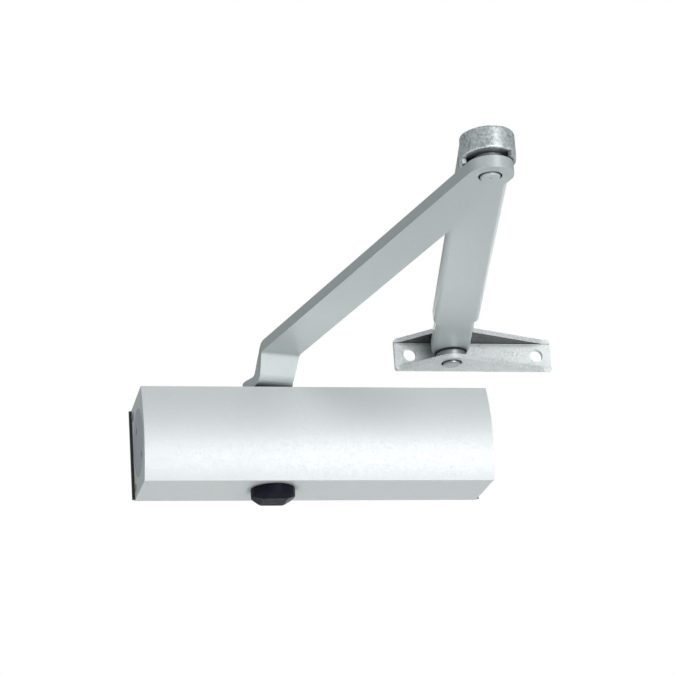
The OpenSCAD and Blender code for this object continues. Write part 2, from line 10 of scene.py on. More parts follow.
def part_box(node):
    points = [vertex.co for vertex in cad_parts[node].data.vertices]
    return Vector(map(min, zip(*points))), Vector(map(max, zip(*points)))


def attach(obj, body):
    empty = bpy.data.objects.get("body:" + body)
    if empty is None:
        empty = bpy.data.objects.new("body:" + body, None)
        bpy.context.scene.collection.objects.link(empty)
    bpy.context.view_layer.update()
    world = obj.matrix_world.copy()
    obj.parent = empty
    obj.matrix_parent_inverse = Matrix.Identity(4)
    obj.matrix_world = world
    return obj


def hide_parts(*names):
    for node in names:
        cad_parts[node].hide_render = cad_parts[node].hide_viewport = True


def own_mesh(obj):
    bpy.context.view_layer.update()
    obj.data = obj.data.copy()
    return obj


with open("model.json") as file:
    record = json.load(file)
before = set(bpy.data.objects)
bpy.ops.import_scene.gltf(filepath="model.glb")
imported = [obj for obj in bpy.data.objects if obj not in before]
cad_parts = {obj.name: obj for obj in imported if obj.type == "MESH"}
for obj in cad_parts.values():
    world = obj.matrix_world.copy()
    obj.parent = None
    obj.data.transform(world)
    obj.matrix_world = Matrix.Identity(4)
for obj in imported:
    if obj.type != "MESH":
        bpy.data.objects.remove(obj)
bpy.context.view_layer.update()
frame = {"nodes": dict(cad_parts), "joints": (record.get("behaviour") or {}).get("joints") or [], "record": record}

MM = 0.001
NODES = frame["nodes"]
JOINTS = {j["name"]: j for j in frame["joints"]}
BODY_OF = {n: b for b, nodes in frame["record"]["behaviour"]["bodies"].items() for n in nodes}
SLOT_OF = {s["node"]: s["material_slot"] for s in frame["record"]["subparts"]}
SPINDLE = Vector(JOINTS["spindle_turn"]["pos_m"])
ELBOW = Vector(JOINTS["elbow"]["pos_m"])
PIN = Vector(JOINTS["bracket_turn"]["pos_m"])
FOREARM_DIRECTION = Vector(JOINTS["forearm_length"]["axis"]).normalized()
FOREARM_LENGTH = (PIN - ELBOW).to_2d().length

# ---------------------------------------------------------------- camera

CAMERA_PLACE = Vector((-0.2733, -1.2607, -0.4136))
CAMERA_LENS_MM = 138.67
CAMERA_YAW = math.radians(13.18)
CAMERA_PITCH = math.radians(20.33)
CAMERA_ROLL = math.radians(-4.07)
SENSOR_MM = 36
CAMERA_NEAREST = 10 * MM


def make_camera():
    forward = Vector((math.sin(CAMERA_YAW) * math.cos(CAMERA_PITCH),
                      math.cos(CAMERA_YAW) * math.cos(CAMERA_PITCH), math.sin(CAMERA_PITCH)))
    level = Vector((math.cos(CAMERA_YAW), -math.sin(CAMERA_YAW), 0))
    upright = level.cross(forward)
    right = level * math.cos(CAMERA_ROLL) + upright * math.sin(CAMERA_ROLL)
    up = upright * math.cos(CAMERA_ROLL) - level * math.sin(CAMERA_ROLL)
    data = bpy.data.cameras.new("camera")
    data.lens = CAMERA_LENS_MM
    data.sensor_width = SENSOR_MM
    data.clip_start = CAMERA_NEAREST
    camera = bpy.data.objects.new("camera", data)
    turn = Matrix((right, up, -forward)).transposed().to_4x4()
    camera.matrix_world = Matrix.Translation(CAMERA_PLACE) @ turn
    bpy.context.scene.collection.objects.link(camera)
    bpy.context.scene.camera = camera


# ---------------------------------------------------------------- light and floor

LIGHTS_AIM = (0.0, -0.1, 0.02)
GLOW_COLOUR = (0.80, 0.87, 0.88, 1)
GLOW_STRENGTH = 0.25
FLOOR_HALF = 20
FLOOR_HEIGHT = -1.5
FLOOR_COLOUR = (0.86, 0.86, 0.86, 1)
FLOOR_ROUGHNESS = 0.9
FLOOR_GLOW_COLOUR = (0.97, 1.0, 1.0, 1)
FLOOR_GLOW = 0.235
FLOOR_GLOW_SEEN = 0.6


def area_light(name, place, size, power):
    """A rectangular light that faces the object."""
    data = bpy.data.lights.new(name, "AREA")
    data.shape = "RECTANGLE"
    data.size, data.size_y = size
    data.energy = power
    light = bpy.data.objects.new(name, data)
    light.location = place
    light.rotation_euler = (Vector(LIGHTS_AIM) - Vector(place)).to_track_quat("-Z", "Y").to_euler()
    bpy.context.scene.collection.objects.link(light)
    return light


def make_world():
    """Plain white behind the object, a softer grey for the light that it gives."""
    world = bpy.data.worlds.new("studio")
    bpy.context.scene.world = world
    world.use_nodes = True
    tree = world.node_tree
    tree.nodes.clear()
    path = tree.nodes.new("ShaderNodeLightPath")
    seen = tree.nodes.new("ShaderNodeBackground")
    seen.inputs["Color"].default_value = (1, 1, 1, 1)
    seen.inputs["Strength"].default_value = 1.0
    glow = tree.nodes.new("ShaderNodeBackground")
    glow.inputs["Color"].default_value = GLOW_COLOUR
    glow.inputs["Strength"].default_value = GLOW_STRENGTH
    mix = tree.nodes.new("ShaderNodeMixShader")
    out = tree.nodes.new("ShaderNodeOutputWorld")
    tree.links.new(path.outputs["Is Camera Ray"], mix.inputs[0])
    tree.links.new(glow.outputs[0], mix.inputs[1])
    tree.links.new(seen.outputs[0], mix.inputs[2])
    tree.links.new(mix.outputs[0], out.inputs["Surface"])


def make_stage():
    """Pale floor far below, which lights the undersides; the camera sees it paler than it shines."""
    mesh = bpy.data.meshes.new("floor")
    bm = bmesh.new()
    bmesh.ops.create_grid(bm, x_segments=1, y_segments=1, size=FLOOR_HALF)
    bm.to_mesh(mesh)
    bm.free()
    floor = bpy.data.objects.new("floor", mesh)
    floor.location = (0, 0, FLOOR_HEIGHT)
    material = bpy.data.materials.new("floor_paper")
    material.use_nodes = True
    shader = material.node_tree.nodes["Principled BSDF"]
    shader.inputs["Base Color"].default_value = FLOOR_COLOUR
    shader.inputs["Roughness"].default_value = FLOOR_ROUGHNESS
    shader.inputs["Emission Color"].default_value = FLOOR_GLOW_COLOUR
    path = material.node_tree.nodes.new("ShaderNodeLightPath")
    paler = material.node_tree.nodes.new("ShaderNodeMapRange")
    paler.inputs["To Min"].default_value = FLOOR_GLOW
    paler.inputs["To Max"].default_value = FLOOR_GLOW_SEEN
    material.node_tree.links.new(path.outputs["Is Camera Ray"], paler.inputs["Value"])
    material.node_tree.links.new(paler.outputs["Result"], shader.inputs["Emission Strength"])
    mesh.materials.append(material)
    bpy.context.scene.collection.objects.link(floor)


def make_lights():
    """A large softbox in front, a weak one over it, one at the upper left that shows in no
    reflection, and two above and behind."""
    area_light("key", place=(0.7, -2.2, -0.38), size=(1.1, 1.4), power=33)
    area_light("strip", place=(0.85, -2.1, 1.0), size=(0.8, 1.1), power=3.6)
    fill = area_light("fill", place=(-1.7, -1.1, 1.3), size=(1.2, 1.2), power=17)
    fill.visible_glossy = False
    area_light("top", place=(0.1, 0.5, 1.6), size=(1.4, 1.0), power=12)
    area_light("back", place=(0.5, 1.6, 0.2), size=(1.4, 1.0), power=12)


# ---------------------------------------------------------------- materials

# Painted shade in corners: how far it reaches, how dark it gets, and the part of the shader's range in use
CORNER_SHADE_REACH = 4 * MM
CORNER_SHADE_LEAST = 0.12
CORNER_SHADE_RANGE = (0.25, 0.9)
CORNER_SHADE_SAMPLES = 8
# For the painted shade under the bracket's upper ear: a face looks down fully at the first of these values of its
# normal's Z, and not at all at the second
DOWN_RANGE = (-0.8, -0.5)
FOLD_RUN = 1 * MM
LATHE_LINES = 900
LATHE_WAVER = 0.6
METALLIC = 0.95
PLASTIC_SHINE = 0.12
# How dark the painted shade under the bracket's upper ear is, as a share of the dark colour
FOLD_SHADE = 0.16


class Look:
    """A material under construction: a Principled shader and the nodes that feed it."""

    def __init__(self, name, metallic, roughness, colour):
        self.material = bpy.data.materials.new(name)
        self.material.use_nodes = True
        self.tree = self.material.node_tree
        self.shader = self.tree.nodes["Principled BSDF"]
        self.shader.inputs["Metallic"].default_value = metallic
        self.shader.inputs["Roughness"].default_value = roughness
        self.shader.inputs["Base Color"].default_value = (*colour, 1)
        self.place = self.tree.nodes.new("ShaderNodeTexCoord").outputs["Object"]
        self.bumps = None

    def link(self, source, target):
        self.tree.links.new(source, target)

    def noise(self, scale, detail, rough=0.5):
        """Noise of so many cells a metre."""
        node = self.tree.nodes.new("ShaderNodeTexNoise")
        node.inputs["Scale"].default_value = scale
        node.inputs["Detail"].default_value = detail
        node.inputs["Roughness"].default_value = rough
        self.link(self.place, node.inputs["Vector"])
        return node.outputs["Fac"]

    def rings(self, centre, axis):
        """Lathe lines around a line along X or Z."""
        shift = self.tree.nodes.new("ShaderNodeVectorMath")
        shift.operation = "SUBTRACT"
        shift.inputs[1].default_value = centre
        self.link(self.place, shift.inputs[0])
        wave = self.tree.nodes.new("ShaderNodeTexWave")
        wave.wave_type = "RINGS"
        wave.rings_direction = axis
        wave.inputs["Scale"].default_value = LATHE_LINES
        wave.inputs["Distortion"].default_value = LATHE_WAVER
        wave.inputs["Detail"].default_value = 2
        self.link(shift.outputs[0], wave.inputs["Vector"])
        return wave.outputs["Fac"]

    def spread(self, value, low, high, start=0.3, end=0.7):
        """Maps start..end of a 0 to 1 value to low..high."""
        node = self.tree.nodes.new("ShaderNodeMapRange")
        for socket, number in (("From Min", start), ("From Max", end), ("To Min", low), ("To Max", high)):
            node.inputs[socket].default_value = number
        self.link(value, node.inputs["Value"])
        return node.outputs["Result"]

    def mix(self, factor, a, b):
        """A colour between a and b; each is a colour or another node's output."""
        node = self.tree.nodes.new("ShaderNodeMix")
        node.data_type = "RGBA"
        self.link(factor, node.inputs["Factor"])
        for socket, colour in (("A", a), ("B", b)):
            target = [s for s in node.inputs if s.name == socket and s.type == "RGBA"][0]
            if isinstance(colour, tuple):
                target.default_value = (*colour, 1)
            else:
                self.link(colour, target)
        return [s for s in node.outputs if s.type == "RGBA"][0]

    def downward_shade_mask(self, height):
        """1 on faces that look down and lie above a height, 0 elsewhere: where painted shade goes."""
        normal = self.tree.nodes.new("ShaderNodeSeparateXYZ")
        self.link(self.tree.nodes.new("ShaderNodeNewGeometry").outputs["Normal"], normal.inputs[0])
        place = self.tree.nodes.new("ShaderNodeSeparateXYZ")
        self.link(self.place, place.inputs[0])
        both = self.tree.nodes.new("ShaderNodeMath")
        both.operation = "MULTIPLY"
        self.link(self.spread(normal.outputs["Z"], 1, 0, *DOWN_RANGE), both.inputs[0])
        self.link(self.spread(place.outputs["Z"], 0, 1, height, height + FOLD_RUN), both.inputs[1])
        return both.outputs[0]

    def colour(self, output):
        """Base colour, darkened with painted shade in corners and gaps."""
        corner = self.tree.nodes.new("ShaderNodeAmbientOcclusion")
        corner.samples = CORNER_SHADE_SAMPLES
        corner.inputs["Distance"].default_value = CORNER_SHADE_REACH
        corner_shade = self.tree.nodes.new("ShaderNodeVectorMath")
        corner_shade.operation = "SCALE"
        self.link(output, corner_shade.inputs[0])
        self.link(self.spread(corner.outputs["AO"], CORNER_SHADE_LEAST, 1, *CORNER_SHADE_RANGE), corner_shade.inputs["Scale"])
        self.link(corner_shade.outputs[0], self.shader.inputs["Base Color"])

    def roughness(self, output):
        self.link(output, self.shader.inputs["Roughness"])

    def bump(self, height, strength, depth):
        node = self.tree.nodes.new("ShaderNodeBump")
        node.inputs["Strength"].default_value = strength
        node.inputs["Distance"].default_value = depth
        self.link(height, node.inputs["Height"])
        if self.bumps:
            self.link(self.bumps, node.inputs["Normal"])
        self.bumps = node.outputs["Normal"]
        self.link(self.bumps, self.shader.inputs["Normal"])


def shade(colour, factor):
    """A colour made lighter or darker by a factor."""
    return tuple(min(1, c * factor) for c in colour)


def paint(name, colour, metallic, roughness):
    """Silver paint: fine metal flakes, faint orange peel, slow cloudiness."""
    look = Look(name, metallic, roughness, colour)
    flakes = look.spread(look.noise(2600, 1), 0, 1, 0.35, 0.65)
    cloud = look.spread(look.noise(28, 3), 0, 1)
    base = look.mix(flakes, shade(colour, 0.93), shade(colour, 1.05))
    look.colour(look.mix(cloud, base, shade(colour, 0.98)))
    look.roughness(look.spread(look.noise(700, 2), roughness - 0.04, roughness + 0.05))
    look.bump(look.noise(1400, 2), 0.12, 0.02 * MM)
    return look.material


def mottled(name, dark, light, grain, metallic, roughness, depth, shade_height=None):
    """Zinc on a cast or pressed surface: speckled, with pits; faces that look down and lie above the given height
    are darkened with painted shade."""
    look = Look(name, metallic, roughness, light)
    speckle = look.spread(look.noise(grain, 4, rough=0.65), 0, 1, 0.36, 0.62)
    patches = look.spread(look.noise(grain / 5, 3), 0, 1, 0.35, 0.7)
    base = look.mix(patches, look.mix(speckle, dark, light), shade(light, 0.9))
    if shade_height:
        base = look.mix(look.downward_shade_mask(shade_height), base, shade(dark, FOLD_SHADE))
    look.colour(base)
    look.roughness(look.spread(look.noise(grain * 0.7, 3), roughness - 0.1, roughness + 0.14))
    look.bump(look.noise(grain, 4, rough=0.6), 0.5, depth * MM)
    look.bump(look.noise(grain / 6, 2), 0.3, depth * 2 * MM)
    return look.material


def turned(name, colour, centre, axis, roughness=0.3, metallic=METALLIC):
    """Lathe-turned metal with fine rings around its axis."""
    look = Look(name, metallic, roughness, colour)
    lines = look.rings(centre, axis)
    look.colour(look.mix(look.spread(lines, 0, 1, 0, 1), shade(colour, 0.88), shade(colour, 1.04)))
    look.roughness(look.spread(look.noise(500, 3), roughness - 0.06, roughness + 0.12))
    look.bump(lines, 0.25, 0.012 * MM)
    look.bump(look.noise(1200, 3), 0.12, 0.02 * MM)
    return look.material


def machined(name, colour, roughness=0.32):
    """Milled or drawn metal with a fine, even grain."""
    look = Look(name, METALLIC, roughness, colour)
    grain = look.noise(1500, 3)
    look.colour(look.mix(look.spread(grain, 0, 1), shade(colour, 0.9), shade(colour, 1.05)))
    look.roughness(look.spread(look.noise(260, 3), roughness - 0.05, roughness + 0.12))
    look.bump(grain, 0.25, 0.02 * MM)
    return look.material


def plastic(name, colour, roughness=0.38):
    """Moulded plastic with a faint grain and little shine."""
    look = Look(name, 0, roughness, colour)
    look.shader.inputs["Specular IOR Level"].default_value = PLASTIC_SHINE
    cloud = look.spread(look.noise(240, 3), 0, 1)
    look.colour(look.mix(cloud, shade(colour, 0.85), shade(colour, 1.2)))
    look.roughness(look.spread(look.noise(500, 2), roughness - 0.05, roughness + 0.08))
    look.bump(look.noise(1800, 2), 0.25, 0.02 * MM)
    return look.material


def rubber(name):
    """Black rubber, slightly uneven."""
    look = Look(name, 0, 0.65, (0.02, 0.02, 0.022))
    look.colour(look.mix(look.noise(900, 3), (0.015, 0.015, 0.017), (0.035, 0.035, 0.037)))
    look.bump(look.noise(1500, 3), 0.3, 0.03 * MM)
    return look.material


BORE_CENTRE = (0, SPINDLE.y, 0)
SPINDLE_CENTRE = (SPINDLE.x, SPINDLE.y, 0)
PIN_CENTRE = (PIN.x, PIN.y, 0)
# The bracket's upper ear starts above this height, and its underside is darkened with painted shade
FOLD = 60 * MM

MATERIALS = {
    "painted": paint("painted", (0.64, 0.662, 0.673), 0.25, 0.48),
    "arm_paint": paint("arm_paint", (0.53, 0.57, 0.575), 0.35, 0.38),
    "plated": mottled("plated", (0.50, 0.52, 0.525), (0.80, 0.83, 0.835), 900, 0.35, 0.44, 0.08, FOLD),
    "cast": mottled("cast", (0.34, 0.37, 0.38), (0.80, 0.85, 0.86), 700, 0.65, 0.38, 0.05),
    "plug": turned("plug", (0.52, 0.54, 0.58), BORE_CENTRE, "X", 0.45, 0.35),
    "steel": machined("steel", (0.55, 0.56, 0.57)),
    "dark_steel": machined("dark_steel", (0.16, 0.165, 0.175), roughness=0.4),
    "spring_steel": machined("spring_steel", (0.13, 0.135, 0.15), roughness=0.35),
    "bronze": machined("bronze", (0.50, 0.34, 0.15), roughness=0.35),
    "black_rubber": rubber("black_rubber"),
    "cap_plastic": plastic("cap_plastic", (0.006, 0.007, 0.015), 0.48),
    "dark_plastic": plastic("dark_plastic", (0.05, 0.052, 0.056)),
}
AXIS_STEEL = {
    "spindle": turned("spindle_steel", (0.5, 0.51, 0.52), SPINDLE_CENTRE, "Z"),
    "pin": turned("pin_steel", (0.5, 0.52, 0.53), PIN_CENTRE, "Z", 0.36, 0.85),
    "bore": turned("bore_steel", (0.5, 0.51, 0.53), BORE_CENTRE, "X"),
}
OWN_MATERIAL = {
    "upper_lock_ring": "spindle", "lower_lock_ring": "spindle",
    "arm_washer": "spindle", "arm_screw": "spindle",
    "shoe_bush": "pin", "shoe_pin": "pin", "spring_cup": "bore", "piston": "bore",
}

# ---------------------------------------------------------------- CAD nodes that stay

# Width of each node's edge rounding, in mm
EDGES = {
    "housing": 0.6, "main_arm": 0.45, "spindle_cap": 0.4, "left_end_plug": 0.7, "right_end_plug": 0.7,
    "mounting_plate": 0.3, "arm_screw": 0.4, "clamp_bolt": 0.35, "shoe_pin": 0.35, "elbow_stud": 0.25,
    "shoe_bush": 0.35, "elbow_cap": 0.25, "spindle_pinion": 0.12, "piston": 0.12,
}
DEFAULT_EDGE = 0.15
EDGE_SEGMENTS = 3
EDGE_ANGLE = math.radians(32)
FLAT_ANGLE = math.radians(0.6)
WELD_DISTANCE = 0.002 * MM
# These come as round facets, so they keep their mesh as it is
FACETED = ("main_spring", "check_ball")


def material_of(node):
    """The node's own material, or the one of its slot in the record."""
    own = OWN_MATERIAL.get(node)
    return AXIS_STEEL[own] if own else MATERIALS[SLOT_OF[node]]


def finish_nodes():
    """Gives every CAD node its material, and rounds its edges with modifiers."""
    for name, obj in NODES.items():
        obj.data.materials.clear()
        obj.data.materials.append(material_of(name))
        if name in FACETED:
            continue
        weld = obj.modifiers.new("weld", "WELD")
        weld.merge_threshold = WELD_DISTANCE
        flat = obj.modifiers.new("flat", "DECIMATE")
        flat.decimate_type = "DISSOLVE"
        flat.angle_limit = FLAT_ANGLE
        edge = obj.modifiers.new("edge", "BEVEL")
        edge.width = EDGES.get(name, DEFAULT_EDGE) * MM
        edge.segments = EDGE_SEGMENTS
        edge.limit_method = "ANGLE"
        edge.angle_limit = EDGE_ANGLE
        edge.use_clamp_overlap = True
        normals = obj.modifiers.new("normals", "WEIGHTED_NORMAL")
        normals.keep_sharp = True
        normals.weight = 80


# ---------------------------------------------------------------- mesh tools

SAME_POINT = 0.0001 * MM
BAR_HALF = 100 * MM
BAR_CORNER_STEPS = 6
CUT_OVER = 1 * MM


def new_object(name, bm, material=None):
    """An object in the scene, made from the mesh under construction."""
    mesh = bpy.data.meshes.new(name)
    bm.to_mesh(mesh)
    bm.free()
    if material:
        mesh.materials.append(material)
    obj = bpy.data.objects.new(name, mesh)
    bpy.context.scene.collection.objects.link(obj)
    return obj


def bake(obj):
    """Applies the modifiers to the mesh."""
    graph = bpy.context.evaluated_depsgraph_get()
    mesh = bpy.data.meshes.new_from_object(obj.evaluated_get(graph))
    obj.modifiers.clear()
    obj.data = mesh


def boolean(obj, cutter, operation="DIFFERENCE"):
    """Cuts obj with cutter, or joins the two, and removes cutter."""
    step = obj.modifiers.new("boolean", "BOOLEAN")
    step.object = cutter
    step.operation = operation
    step.solver = "EXACT"
    bake(obj)
    bpy.data.objects.remove(cutter)


def smooth(obj, angle=35):
    """Smooth shading up to an angle, with large faces kept flat."""
    obj.data.polygons.foreach_set("use_smooth", [True] * len(obj.data.polygons))
    obj.data.set_sharp_from_angle(angle=math.radians(angle))
    normals = obj.modifiers.new("normals", "WEIGHTED_NORMAL")
    normals.keep_sharp = True
    normals.weight = 90


def place_piece(obj, node):
    """A finished piece stands for a CAD node and rides on its body."""
    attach(obj, BODY_OF[node])
    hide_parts(node)


def grid(bm, rows, closed_rows=False, closed_columns=False):
    """Faces between rows of points; returns the vertices."""
    verts = [[bm.verts.new(p) for p in row] for row in rows]
    n, m = len(rows), len(rows[0])
    for i in range(n if closed_rows else n - 1):
        for k in range(m if closed_columns else m - 1):
            bm.faces.new((verts[i][k], verts[i][(k + 1) % m],
                          verts[(i + 1) % n][(k + 1) % m], verts[(i + 1) % n][k]))
    return verts


def revolve(profile, start=0.0, end=360.0, steps=96):
    """A solid of revolution about Z from (radius, height) points; it closes on the axis or on itself."""
    bm = bmesh.new()
    full = end - start >= 360
    on_axis = profile[0][0] == 0
    count = steps if full else steps + 1
    rows = []
    for i in range(count):
        a = math.radians(start + (end - start) * i / steps)
        rows.append([(r * math.cos(a), r * math.sin(a), z) for r, z in profile])
    verts = grid(bm, rows, closed_rows=full, closed_columns=not on_axis)
    if not full:
        bm.faces.new(verts[0])
        bm.faces.new(list(reversed(verts[-1])))
    bmesh.ops.remove_doubles(bm, verts=bm.verts, dist=SAME_POINT)
    bmesh.ops.recalc_face_normals(bm, faces=bm.faces)
    return bm


def disc(radius, low, high, steps):
    """A plain cylinder about Z, for cutting."""
    bm = bmesh.new()
    bmesh.ops.create_cone(bm, cap_ends=True, segments=steps,
                          radius1=radius, radius2=radius, depth=high - low)
    bmesh.ops.translate(bm, verts=bm.verts, vec=(0, 0, (low + high) / 2))
    return bm


def box(low, high, rounding, segments=4):
    """A block with rounded edges."""
    bm = bmesh.new()
    bmesh.ops.create_cube(bm, size=1)
    low, high = Vector(low), Vector(high)
    bmesh.ops.scale(bm, verts=bm.verts, vec=high - low)
    bmesh.ops.translate(bm, verts=bm.verts, vec=(low + high) / 2)
    bmesh.ops.bevel(bm, geom=bm.edges[:], offset=rounding, segments=segments, affect="EDGES",
                    profile=0.5, clamp_overlap=True)
    return bm


def rounded_bar(x0, x1, z0, z1, radius):
    """A bar along Y whose outline in X and Z has round corners."""
    corners = [((x1 - radius, z1 - radius), 0), ((x0 + radius, z1 - radius), 90),
               ((x0 + radius, z0 + radius), 180), ((x1 - radius, z0 + radius), 270)]
    outline = []
    for centre, start in corners:
        outline += round_corner(centre, radius, start, start + 90, BAR_CORNER_STEPS)
    bm = bmesh.new()
    near, far = [[bm.verts.new((x, y, z)) for x, z in outline] for y in (-BAR_HALF, BAR_HALF)]
    for i in range(len(outline)):
        j = (i + 1) % len(outline)
        bm.faces.new((near[i], near[j], far[j], far[i]))
    bm.faces.new(near)
    bm.faces.new(list(reversed(far)))
    bmesh.ops.recalc_face_normals(bm, faces=bm.faces)
    return bm


def moved(bm, matrix):
    """The mesh after a move or a turn."""
    bmesh.ops.transform(bm, matrix=matrix, verts=bm.verts)
    return bm


def round_corner(centre, radius, start, end, steps=5):
    """Points of an arc, angles in degrees."""
    return [(centre[0] + radius * math.cos(math.radians(start + (end - start) * i / steps)),
             centre[1] + radius * math.sin(math.radians(start + (end - start) * i / steps)))
            for i in range(steps + 1)]


FOREARM_FRAME = Matrix.Translation((ELBOW.x, ELBOW.y, 0)) @ Matrix.Rotation(
    math.atan2(FOREARM_DIRECTION.y, FOREARM_DIRECTION.x), 4, "Z")
ELBOW_FRAME = Matrix.Translation((ELBOW.x, ELBOW.y, 0))
PIN_FRAME = Matrix.Translation((PIN.x, PIN.y, 0))

# ---------------------------------------------------------------- forearm channel

CHANNEL_START = 16.3 * MM
CHANNEL_HALF = 11.8 * MM
NECK_HALF = 10.0 * MM
SHOULDER = 208 * MM
SHOULDER_RUN = 4 * MM
BEND = 2.5 * MM
ROLL = 1.3 * MM
LIP = 4.4 * MM
NECK_LIP = 2.1 * MM
LIP_RUN = 6 * MM
LIP_RUN_AHEAD = 8 * MM
CHANNEL_SHEET = 2.0 * MM
LIP_SHEET = 1.8 * MM
INNER_ROLL = 0.4 * MM
LIP_EASE = 0.3 * MM
LIP_INNER_EASE = 0.2 * MM
BUSH_HOLE = 6.02 * MM
# The walls are even up to this far from the shoulder, and finely divided nearer to it
SHOULDER_ZONE = 10 * MM
SHOULDER_PLACES = (-8, -6, -4, -2, -1, 0, 0.7, 1.4, 2, 2.6, 3.3, 4, 5, 7, 10)
STRAIGHT_STEPS = 16
NECK_STEPS = 5
EYE_STEPS = 24


def ease_step(t):
    """0 to 1 with a gentle start and end."""
    t = max(0.0, min(1.0, t))
    return t * t * (3 - 2 * t)


def channel_half_width(s):
    """Half of the channel's width at a distance from the elbow."""
    return CHANNEL_HALF + (NECK_HALF - CHANNEL_HALF) * ease_step((s - SHOULDER) / SHOULDER_RUN)


def channel_lip(s):
    """How far the lip reaches in at a distance from the elbow."""
    return LIP + (NECK_LIP - LIP) * ease_step((s - SHOULDER + LIP_RUN_AHEAD) / LIP_RUN)


def channel_section(lip, height):
    """Half of the folded sheet, from the web's outer face to its inner one.

    Points are (distance in from the wall, height)."""
    inner_bend = BEND - CHANNEL_SHEET
    section = [(BEND - x, z) for x, z in round_corner((0, BEND), BEND, -90, 0, 6)]
    section += [(ROLL - x, height - ROLL + z) for x, z in round_corner((0, 0), ROLL, 0, 90, 5)]
    section += [(lip - LIP_EASE, height), (lip, height - LIP_EASE)]
    section += [(lip, height - LIP_SHEET + LIP_INNER_EASE), (lip - LIP_INNER_EASE, height - LIP_SHEET)]
    if lip > CHANNEL_SHEET + INNER_ROLL + LIP_EASE:
        corner = (CHANNEL_SHEET + INNER_ROLL, height - LIP_SHEET - INNER_ROLL)
        section += round_corner(corner, INNER_ROLL, 90, 180, 3)
    else:
        section += [(CHANNEL_SHEET, height - LIP_SHEET - 0.1 * MM * (i + 1)) for i in range(4)]
    section += [(BEND - x, CHANNEL_SHEET + inner_bend - z)
                for x, z in round_corner((0, 0), inner_bend, 0, 90, 4)]
    return section


def channel_path():
    """Points of the web's outline with the lip's reach there: one side, round the eye and back."""
    straight = SHOULDER - SHOULDER_ZONE - CHANNEL_START
    neck = FOREARM_LENGTH - SHOULDER - SHOULDER_ZONE
    stations = [CHANNEL_START + straight * i / STRAIGHT_STEPS for i in range(STRAIGHT_STEPS + 1)]
    stations += [SHOULDER + d * MM for d in SHOULDER_PLACES]
    stations += [SHOULDER + SHOULDER_ZONE + neck * i / NECK_STEPS for i in range(1, NECK_STEPS)]
    side = [(s, channel_half_width(s), channel_lip(s)) for s in stations]
    eye = [(FOREARM_LENGTH + NECK_HALF * math.cos(a), NECK_HALF * math.sin(a), NECK_LIP)
           for a in [math.pi / 2 - math.pi * i / EYE_STEPS for i in range(EYE_STEPS + 1)]]
    return side + eye + [(s, -w, lip) for s, w, lip in reversed(side)]


def make_channel():
    """Folded sheet: a web below, two side walls with rolled lips, necked and rounded at the bracket."""
    low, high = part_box("forearm_channel")
    z0, z1 = low[2], high[2]
    path = channel_path()
    rows = []
    for i, (x, y, lip) in enumerate(path):
        before, after = path[max(i - 1, 0)], path[min(i + 1, len(path) - 1)]
        along = Vector((after[0] - before[0], after[1] - before[1])).normalized()
        inward = Vector((along.y, -along.x))
        rows.append([(x + inward.x * d, y + inward.y * d, z0 + h) for d, h in channel_section(lip, z1 - z0)])
    bm = bmesh.new()
    verts = grid(bm, rows)
    last = len(rows) - 1
    for column in (0, -1):
        for i in range(last // 2):
            j = last - i
            corners = [verts[i][column], verts[i + 1][column], verts[j - 1][column], verts[j][column]]
            bm.faces.new(corners if j - i > 2 else [corners[0], corners[1], corners[3]])
    bm.faces.new(verts[0] + list(reversed(verts[last])))
    bmesh.ops.recalc_face_normals(bm, faces=bm.faces)
    obj = new_object("forearm_channel_sheet", moved(bm, FOREARM_FRAME), MATERIALS["arm_paint"])
    hole = disc(BUSH_HOLE, z0 - CUT_OVER, z0 + CHANNEL_SHEET + CUT_OVER, 64)
    boolean(obj, new_object("cut", moved(hole, PIN_FRAME)))
    smooth(obj)
    place_piece(obj, "forearm_channel")


# ---------------------------------------------------------------- bracket

EAR_RADIUS = 8.4 * MM
EAR_END = (0.6 * MM, 1.5 * MM)
EAR_LEAST = 3.0 * MM
BASE_ROUND = 2.0 * MM
HAIR = 0.02 * MM
BRACKET_BEND = 2.4 * MM
BRACKET_SHEET = 2.5 * MM
BRACKET_INNER = 0.4 * MM
BRACKET_HOLE = 3.5 * MM
BRACKET_SPACING = 70 * MM
PIN_HOLE = 4.0 * MM
PIN_SINK = 5.5 * MM
PIN_SINK_DEPTH = 1.2 * MM
BRACKET_STEPS = 96
BRACKET_CUT = 10 * MM
BRACKET_EASE = 0.3 * MM
BRACKET_EASE_ANGLE = math.radians(40)


def ear_depth(x, x0, x1):
    """How far an ear stands out at x: an arc around the pin, straight on to each end."""
    end = x0 if x < PIN.x else x1
    corner = Vector((abs(end - PIN.x) - EAR_END[0], -PIN.y - EAR_END[1]))
    tilt = math.atan2(corner.y, corner.x) + math.asin(EAR_RADIUS / corner.length)
    touch = EAR_RADIUS * math.sin(tilt)
    offset = abs(x - PIN.x)
    if offset <= touch:
        return -PIN.y + math.sqrt(EAR_RADIUS ** 2 - offset ** 2)
    share = (offset - touch) / (corner.x - touch)
    return max(EAR_LEAST, (1 - share) * (-PIN.y + EAR_RADIUS * math.cos(tilt)) + share * EAR_END[1])


def bracket_section(depth, height):
    """Closed outline of the U, as (depth, height): outer face up, inner face down."""
    sheet, inner = BRACKET_SHEET, BRACKET_INNER
    lower = [(-depth, 0), (-(depth + BRACKET_BEND) / 2, 0)]
    lower += round_corner((-BRACKET_BEND, BRACKET_BEND), BRACKET_BEND, -90, 0, 6)
    upper = [(y, height - z) for y, z in reversed(lower)]
    inside = [(-depth, sheet), (-(depth + sheet + inner) / 2, sheet)]
    inside += [(-sheet - inner + y, sheet + inner + z) for y, z in round_corner((0, 0), inner, -90, 0, 3)]
    inside_upper = [(y, height - z) for y, z in reversed(inside)]
    return lower + upper + list(reversed(inside_upper)) + list(reversed(inside))


def ease_bracket(obj):
    """Takes the sharpness off the edges of the pressing."""
    edge = obj.modifiers.new("edge", "BEVEL")
    edge.width = BRACKET_EASE
    edge.segments = 2
    edge.limit_method = "ANGLE"
    edge.angle_limit = BRACKET_EASE_ANGLE
    bake(obj)


